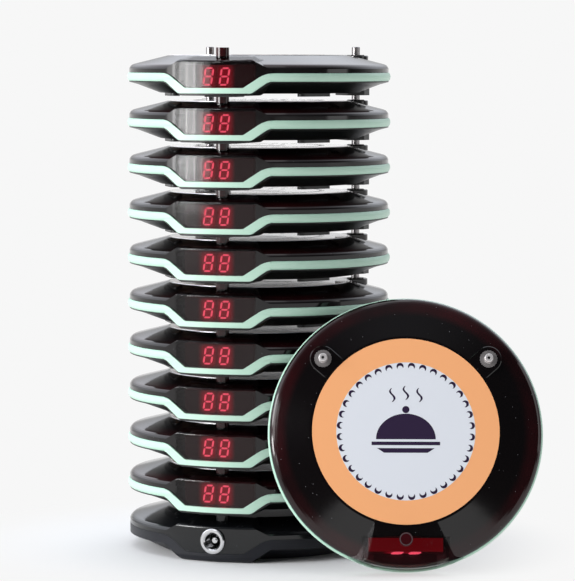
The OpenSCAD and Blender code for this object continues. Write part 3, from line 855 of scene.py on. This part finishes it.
@dataclass
class Display:
    """The lit digits of one pager, all segments on."""

    seat: Seat
    finish: Finish
    middle: float = PAGER.digits_middle
    pitch: float = 6.45
    width: float = 3.7
    height: float = 6.8
    low: float = 4.25
    stroke: float = 0.62
    gap: float = 0.3
    slant: float = 0.16
    proud: float = 0.35
    sunk: float = 0.02

    def segment(self, segment: Segment, left: float) -> list[Point]:
        """Gives the outline of one segment, with pointed ends.

        Args:
            segment: Which segment.
            left: Where the digit starts, across the display.

        Returns:
            The outline, anticlockwise, as seen from the front.
        """
        half = self.stroke / 2
        wide, tall = self.width - self.stroke, (self.height - self.stroke) / 2
        (u0, v0), (u1, v1) = segment.value
        start = Vector((u0 * wide, v0 * tall))
        end = Vector((u1 * wide, v1 * tall))
        along = (end - start).normalized()
        side = Vector((-along.y, along.x))
        start, end = start + along * self.gap, end - along * self.gap
        corners = [start, start + (along - side) * half, end - (along + side) * half,
                   end, end + (side - along) * half, start + (along + side) * half]
        return [(left + half + p.x + (p.y + half) * self.slant, self.low + half + p.y)
                for p in corners]

    def build(self) -> bpy.types.Object:
        """Builds both digits as one piece."""
        sheet = Sheet(f"{self.seat.prefix}digits", self.seat, [self.finish])
        face = PAGER.display_reach - self.sunk

        def on_face(u: float, v: float, w: float) -> Vector:
            """Stands an outline on the display's face."""
            return Vector((u, -w, v))

        for index in (-0.5, 0.5):
            left = self.middle + index * self.pitch - self.width / 2 - self.height * self.slant / 2
            for segment in Segment:
                sheet.slab(self.segment(segment, left), face, face + self.proud, 0, on_face)
        piece = sheet.done()
        return piece


@dataclass(frozen=True)
class Dish:
    """Drawing of a covered dish with steam, in millimetres round the label's middle."""

    dome_half: float = 11.0
    dome_foot: float = -3.0
    dome_rise: float = 9.5
    dome_step_deg: int = 6
    rim_halves: Point = (12.6, 12.6)
    rim_heights: Point = (-5.2, -3.9)
    plate_halves: Point = (8.0, 10.6)
    plate_heights: Point = (-8.0, -6.3)
    knob_radius: float = 1.35
    knob_high: float = 8.0
    knob_count: int = 16
    wisp_middles: tuple[float, ...] = (-5.0, 0.0, 5.0)
    wisp_steps: int = 12
    wisp_foot: float = 10.8
    wisp_rise: float = 5.2
    wisp_raised: float = 0.8
    wisp_sway: float = 0.85
    wisp_bends: float = 6.0
    wisp_phase: Point = (0.12, 0.8)
    wisp_widths: Point = (0.08, 0.62)
    wisp_thinning: float = 1.6

    @staticmethod
    def bar(halves: Point, heights: Point) -> list[Point]:
        """Gives a bar between two level edges, by their half widths and heights."""
        (low_half, high_half), (low, high) = halves, heights
        return [(-low_half, low), (low_half, low), (high_half, high), (-high_half, high)]

    def dome(self) -> list[Point]:
        """Gives the domed cover."""
        angles = [math.radians(a) for a in range(0, 181, self.dome_step_deg)]
        return [(self.dome_half * math.cos(a), self.dome_foot + self.dome_rise * math.sin(a))
                for a in angles]

    def wisp(self, middle: float) -> list[Point]:
        """Gives one wisp of steam, up one side and down the other. The middle one is raised."""
        foot = self.wisp_foot + (0.0 if middle else self.wisp_raised)
        start, span = self.wisp_phase
        least, more = self.wisp_widths
        points = []
        for side in (1, -1):
            for i in range(self.wisp_steps + 1)[::side]:
                t = i / self.wisp_steps
                width = more * math.sin(math.pi * (start + span * t)) + least
                sway = self.wisp_sway * math.sin(t * self.wisp_bends)
                points.append((middle + sway + side * width / self.wisp_thinning,
                               foot + self.wisp_rise * t))
        return points

    def outlines(self) -> list[list[Point]]:
        """Gives all outlines: dome, rim, plate, knob and steam."""
        return [self.dome(), self.bar(self.rim_halves, self.rim_heights),
                self.bar(self.plate_halves, self.plate_heights),
                circle(self.knob_radius, self.knob_count, (0.0, self.knob_high)),
                *(self.wisp(middle) for middle in self.wisp_middles)]


@dataclass
class Label:
    """The printed label on a pager's flat top: a plain design of a covered dish."""

    seat: Seat
    finishes: Finishes
    with_disc: bool
    disc_radius: float = 25.6
    scallop_circle: float = 24.2
    scallop_radius: float = 1.3
    bite_radius: float = 1.0
    bite_shift: float = 0.75
    scallops: int = 36
    outer_steps: int = 8
    inner_steps: int = 6
    ink: float = 0.03
    overlap: float = 0.005
    round_count: int = 128

    def crescent(self, angle: float) -> list[Point]:
        """Gives one dark crescent of the border, open towards the middle."""
        big, small, shift = self.scallop_radius, self.bite_radius, self.bite_shift
        meet = (small * small - big * big - shift * shift) / (2 * shift)
        ends = math.acos(meet / big), math.acos((meet + shift) / small)
        outer = [big * Vector((math.cos(t), math.sin(t)))
                 for t in (ends[0] * (i / self.outer_steps - 1)
                           for i in range(2 * self.outer_steps + 1))]
        inner = [Vector((-shift, 0.0)) + small * Vector((math.cos(t), math.sin(t)))
                 for t in (ends[1] * (1 - i / self.inner_steps)
                           for i in range(1, 2 * self.inner_steps))]
        out = []
        for p in outer + inner:
            q = Matrix.Rotation(angle, 2) @ (p + Vector((self.scallop_circle, 0.0)))
            out.append((q.x, q.y))
        return out

    def build(self) -> bpy.types.Object:
        """Builds the label's print, with its own disc where the pager has no label solid."""
        finishes = [self.finishes.orange, self.finishes.white, self.finishes.navy]
        sheet = Sheet(f"{self.seat.prefix}label_print", self.seat, finishes)
        level = PAGER.height + PAGER.label_thickness
        if self.with_disc:
            film = circle(PAGER.label_radius, self.round_count)
            sheet.slab(film, PAGER.height, level - self.ink / 2, 1, on_top)
            sheet.slab(film, level - self.ink / 2, level, 0, on_top)
        disc = circle(self.disc_radius, self.round_count)
        sheet.slab(disc, level - self.overlap, level + self.ink, 1, on_top)
        border = [self.crescent(math.tau * (i + 0.5) / self.scallops) for i in range(self.scallops)]
        for shape in border + Dish().outlines():
            sheet.slab(shape, level + self.ink - self.overlap, level + 2 * self.ink, 2, on_top)
        piece = sheet.done()
        return piece


# ---------------------------------------------------------------- the object


@dataclass
class Dressing:
    """Gives every solid its finish and adds the pieces that only the scene has."""

    finishes: Finishes

    def cover(self, node: str, finish: Finish) -> None:
        """Gives one solid its finish."""
        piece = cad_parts[node]
        piece.data.materials.clear()
        piece.data.materials.append(finish.material())
        log.info("finish %s on %s", finish.name, node)

    def base(self) -> None:
        """Dresses the charging base."""
        kinds = {
            "top_cover": self.finishes.base_cover, "bottom_case": self.finishes.base_case,
            "jack_housing": self.finishes.jack_black, "jack_contacts": self.finishes.jack_plate,
            "charging_pins": self.finishes.base_pins, "circuit_board": self.finishes.board,
            "rubber_feet": self.finishes.rubber, "screws": self.finishes.screw}
        for part, finish in kinds.items():
            self.cover(f"{BASE.prefix}{part}", finish)

    def stacked(self, seat: Seat) -> None:
        """Dresses one pager of the stack."""
        kinds = {"top_cover": self.finishes.cover, "light_ring": self.finishes.band,
                 "bottom_case": self.finishes.case, "electronics": self.finishes.electronics}
        for part, finish in kinds.items():
            self.cover(f"{seat.prefix}{part}", finish)
        Display(seat, self.finishes.digit).build()
        Label(seat, self.finishes, with_disc=True).build()

    def leaning(self) -> None:
        """Dresses the leaning pager."""
        kinds = {
            "top_cover": self.finishes.leaning_cover, "light_ring": self.finishes.leaning_band,
            "bottom_case": self.finishes.leaning_case, "label": self.finishes.orange,
            "charging_pins": self.finishes.leaning_pins, "contact_plates": self.finishes.plates,
            "circuit_board": self.finishes.board, "display": self.finishes.display,
            "battery": self.finishes.battery, "vibration_motor": self.finishes.motor_can,
            "motor_weight": self.finishes.weight, "screws": self.finishes.screw}
        for part, finish in kinds.items():
            self.cover(f"{LEANING.prefix}{part}", finish)
        Display(LEANING, self.finishes.digit, middle=0.2).build()
        Label(LEANING, self.finishes, with_disc=False).build()


# ---------------------------------------------------------------- the studio


@dataclass(frozen=True)
class Lamp:
    """A soft lamp, placed by its direction from -Y, its height and its distance from the stack."""

    name: str
    azimuth_deg: float
    height: float
    away: float
    size: Point
    power: float

    def spot(self) -> Vector:
        """Gives where it hangs, in metres."""
        turn = math.radians(self.azimuth_deg)
        return Vector((self.away * math.sin(turn), -self.away * math.cos(turn), self.height))


@dataclass
class Studio:
    """Floor, surround, lamps and camera.

    Heights in the surround go from 0 at the horizon to 1 straight overhead.
    """

    aim: Vector = field(default_factory=lambda: Vector((0.02, -0.01, 0.09)))
    view_turn_deg: float = 20.0
    camera_away: float = 1.1881
    camera_height: float = 0.1913
    camera_down: float = 0.0774
    camera_pan: float = 0.0094
    camera_roll: float = 0.0015
    focal_px: float = 3057.2
    view_end: float = 20.0
    pale: float = 0.93
    floor_half: float = 6.0
    floor_lit: float = 0.8
    floor_fade: Point = (0.045, 0.13)
    dark_side_deg: float = 45.0
    dark_side_edge: Point = (-0.35, 0.45)
    dark_level: float = 0.05
    dark_overhead: float = 0.4
    wall_level: float = 0.55
    wall_foot: Point = (0.09, 0.03)
    wall_foot_gain: float = 0.4
    wall_rise: Point = (0.06, 0.5)
    wall_rise_gain: float = 1.5
    overhead: Point = (0.6, 1.0)
    overhead_loss: float = 0.9
    cool: Colour = (0.90, 0.93, 1.0)
    white: Colour = (1.0, 1.0, 1.0)
    cool_ends: Point = (0.3, 0.0)
    key_columns: tuple[tuple[int, float], ...] = (
        (-27, 1.0), (-34, 2.5), (-41, 4.2), (-48, 3.6), (-55, 2.2), (-62, 0.9))
    key_rows: tuple[tuple[str, float, float], ...] = (("low", 0.165, 0.15), ("high", 0.47, 0.27))
    key_away: float = 1.1
    key_width: float = 0.17
    key_whole: float = 0.52

    def camera(self) -> None:
        """Places the camera where the photograph was taken from."""
        turn = Matrix.Rotation(math.radians(self.view_turn_deg), 3, "Z")
        down, pan = self.camera_down, self.camera_pan
        look = turn @ Vector((math.sin(pan) * math.cos(down), math.cos(pan) * math.cos(down),
                              -math.sin(down)))
        right = look.cross(Vector((0, 0, 1))).normalized()
        up = right.cross(look)
        roll = self.camera_roll
        right, up = (right * math.cos(roll) + up * math.sin(roll),
                     up * math.cos(roll) - right * math.sin(roll))
        data = bpy.data.cameras.new("camera")
        data.sensor_width = SENSOR_MM
        data.lens = self.focal_px * SENSOR_MM / max(PHOTO_SIZE)
        data.clip_end = self.view_end
        camera = bpy.data.objects.new("camera", data)
        spot = turn @ Vector((0.0, -self.camera_away, 0.0))
        axes = Matrix((right, up, -look)).transposed().to_4x4()
        camera.matrix_world = Matrix.Translation((spot.x, spot.y, self.camera_height)) @ axes
        bpy.context.scene.collection.objects.link(camera)
        bpy.context.scene.camera = camera

    def floor(self) -> None:
        """Lays a plain pale floor that melts into the background far from the object."""
        mesh = bpy.data.meshes.new("floor")
        half = self.floor_half
        mesh.from_pydata([(-half, -half, 0), (half, -half, 0), (half, half, 0), (-half, half, 0)],
                         [], [(0, 1, 2, 3)])
        floor = bpy.data.objects.new("floor", mesh)
        bpy.context.scene.collection.objects.link(floor)
        material = bpy.data.materials.new("floor_pale")
        material.use_nodes = True
        graph = Graph(material.node_tree)
        point = graph.node("ShaderNodeTexCoord").outputs["Object"]
        parts = graph.node("ShaderNodeSeparateXYZ", {}, {0: point})
        x, y = (Value(graph, parts.outputs[i]) for i in range(2))
        far = (x * x + y * y).root().ramp(*self.floor_fade)
        lit = graph.node("ShaderNodeBsdfDiffuse", {}, {"Color": (self.floor_lit,) * 3}).outputs[0]
        flat = graph.node("ShaderNodeEmission", {}, {"Color": (self.pale,) * 3}).outputs[0]
        mixed = graph.node("ShaderNodeMixShader", {}, {0: far, 1: lit, 2: flat}).outputs[0]
        graph.node("ShaderNodeOutputMaterial", {}, {"Surface": mixed})
        mesh.materials.append(material)

    def world(self) -> None:
        """Makes a pale surround, dim behind the camera and to its right."""
        world = bpy.data.worlds.new("studio")
        world.use_nodes = True
        bpy.context.scene.world = world
        graph = Graph(world.node_tree)
        rays = graph.node("ShaderNodeLightPath")
        straight = Value(graph, rays.outputs["Is Camera Ray"])
        point = graph.node("ShaderNodeTexCoord").outputs["Generated"]
        parts = graph.node("ShaderNodeSeparateXYZ", {}, {0: point})
        x, y, z = (Value(graph, parts.outputs[i]) for i in range(3))
        turn = math.radians(self.dark_side_deg)
        dark = (x * math.sin(turn) - y * math.cos(turn)).ramp(*self.dark_side_edge)
        overhead = z.ramp(*self.overhead)
        foot = z.ramp(*self.wall_foot) * self.wall_foot_gain
        rise = z.ramp(*self.wall_rise) * self.wall_rise_gain
        wall = self.wall_level + foot + rise - overhead * self.overhead_loss
        level = (1 - dark) * wall + dark * (self.dark_level + overhead * self.dark_overhead)
        strength = straight * self.pale + (1 - straight) * level
        tint = graph.mix(straight.most(z.ramp(*self.cool_ends)), self.cool, self.white)
        surround = graph.node("ShaderNodeBackground", {}, {"Color": tint, "Strength": strength})
        graph.node("ShaderNodeOutputWorld", {}, {"Surface": surround.outputs[0]})

    def lamps(self) -> list[Lamp]:
        """Lists the lamps: key lamps at the left in columns of two, and three round about."""
        keys = [Lamp(f"key_{row}{azimuth}", azimuth, height, self.key_away, (self.key_width, tall),
                     power * tall / self.key_whole)
                for azimuth, power in self.key_columns for row, height, tall in self.key_rows]
        return keys + [
            Lamp("top", azimuth_deg=-30, height=1.3, away=0.15, size=(0.8, 0.6), power=1.2),
            Lamp("near", azimuth_deg=-19, height=0.46, away=1.1, size=(0.18, 0.24), power=1.0),
            Lamp("right", azimuth_deg=92, height=0.5, away=1.2, size=(0.5, 0.8), power=1.8),
        ]

    def hang(self, lamp: Lamp) -> None:
        """Hangs one lamp so that it faces the studio's aim."""
        data = bpy.data.lights.new(lamp.name, "AREA")
        data.shape = "RECTANGLE"
        data.size, data.size_y = lamp.size
        data.energy = lamp.power
        made = bpy.data.objects.new(lamp.name, data)
        made.location = lamp.spot()
        made.rotation_euler = (self.aim - lamp.spot()).to_track_quat("-Z", "Y").to_euler()
        bpy.context.scene.collection.objects.link(made)

    def build(self) -> None:
        """Sets up the whole studio."""
        bpy.context.scene.view_settings.view_transform = "Standard"
        self.camera()
        self.floor()
        self.world()
        for lamp in self.lamps():
            self.hang(lamp)


def main() -> None:
    """Dresses the object and sets up the studio."""
    logging.basicConfig(level=logging.INFO, format="%(name)s: %(message)s")
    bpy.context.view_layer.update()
    Studio().build()
    dressing = Dressing(Finishes())
    dressing.base()
    for seat in STACK:
        dressing.stacked(seat)
        log.info("dressed %s", seat.body)
    dressing.leaning()
    log.info("dressed %s", LEANING.body)


if __name__ == "__main__":
    main()
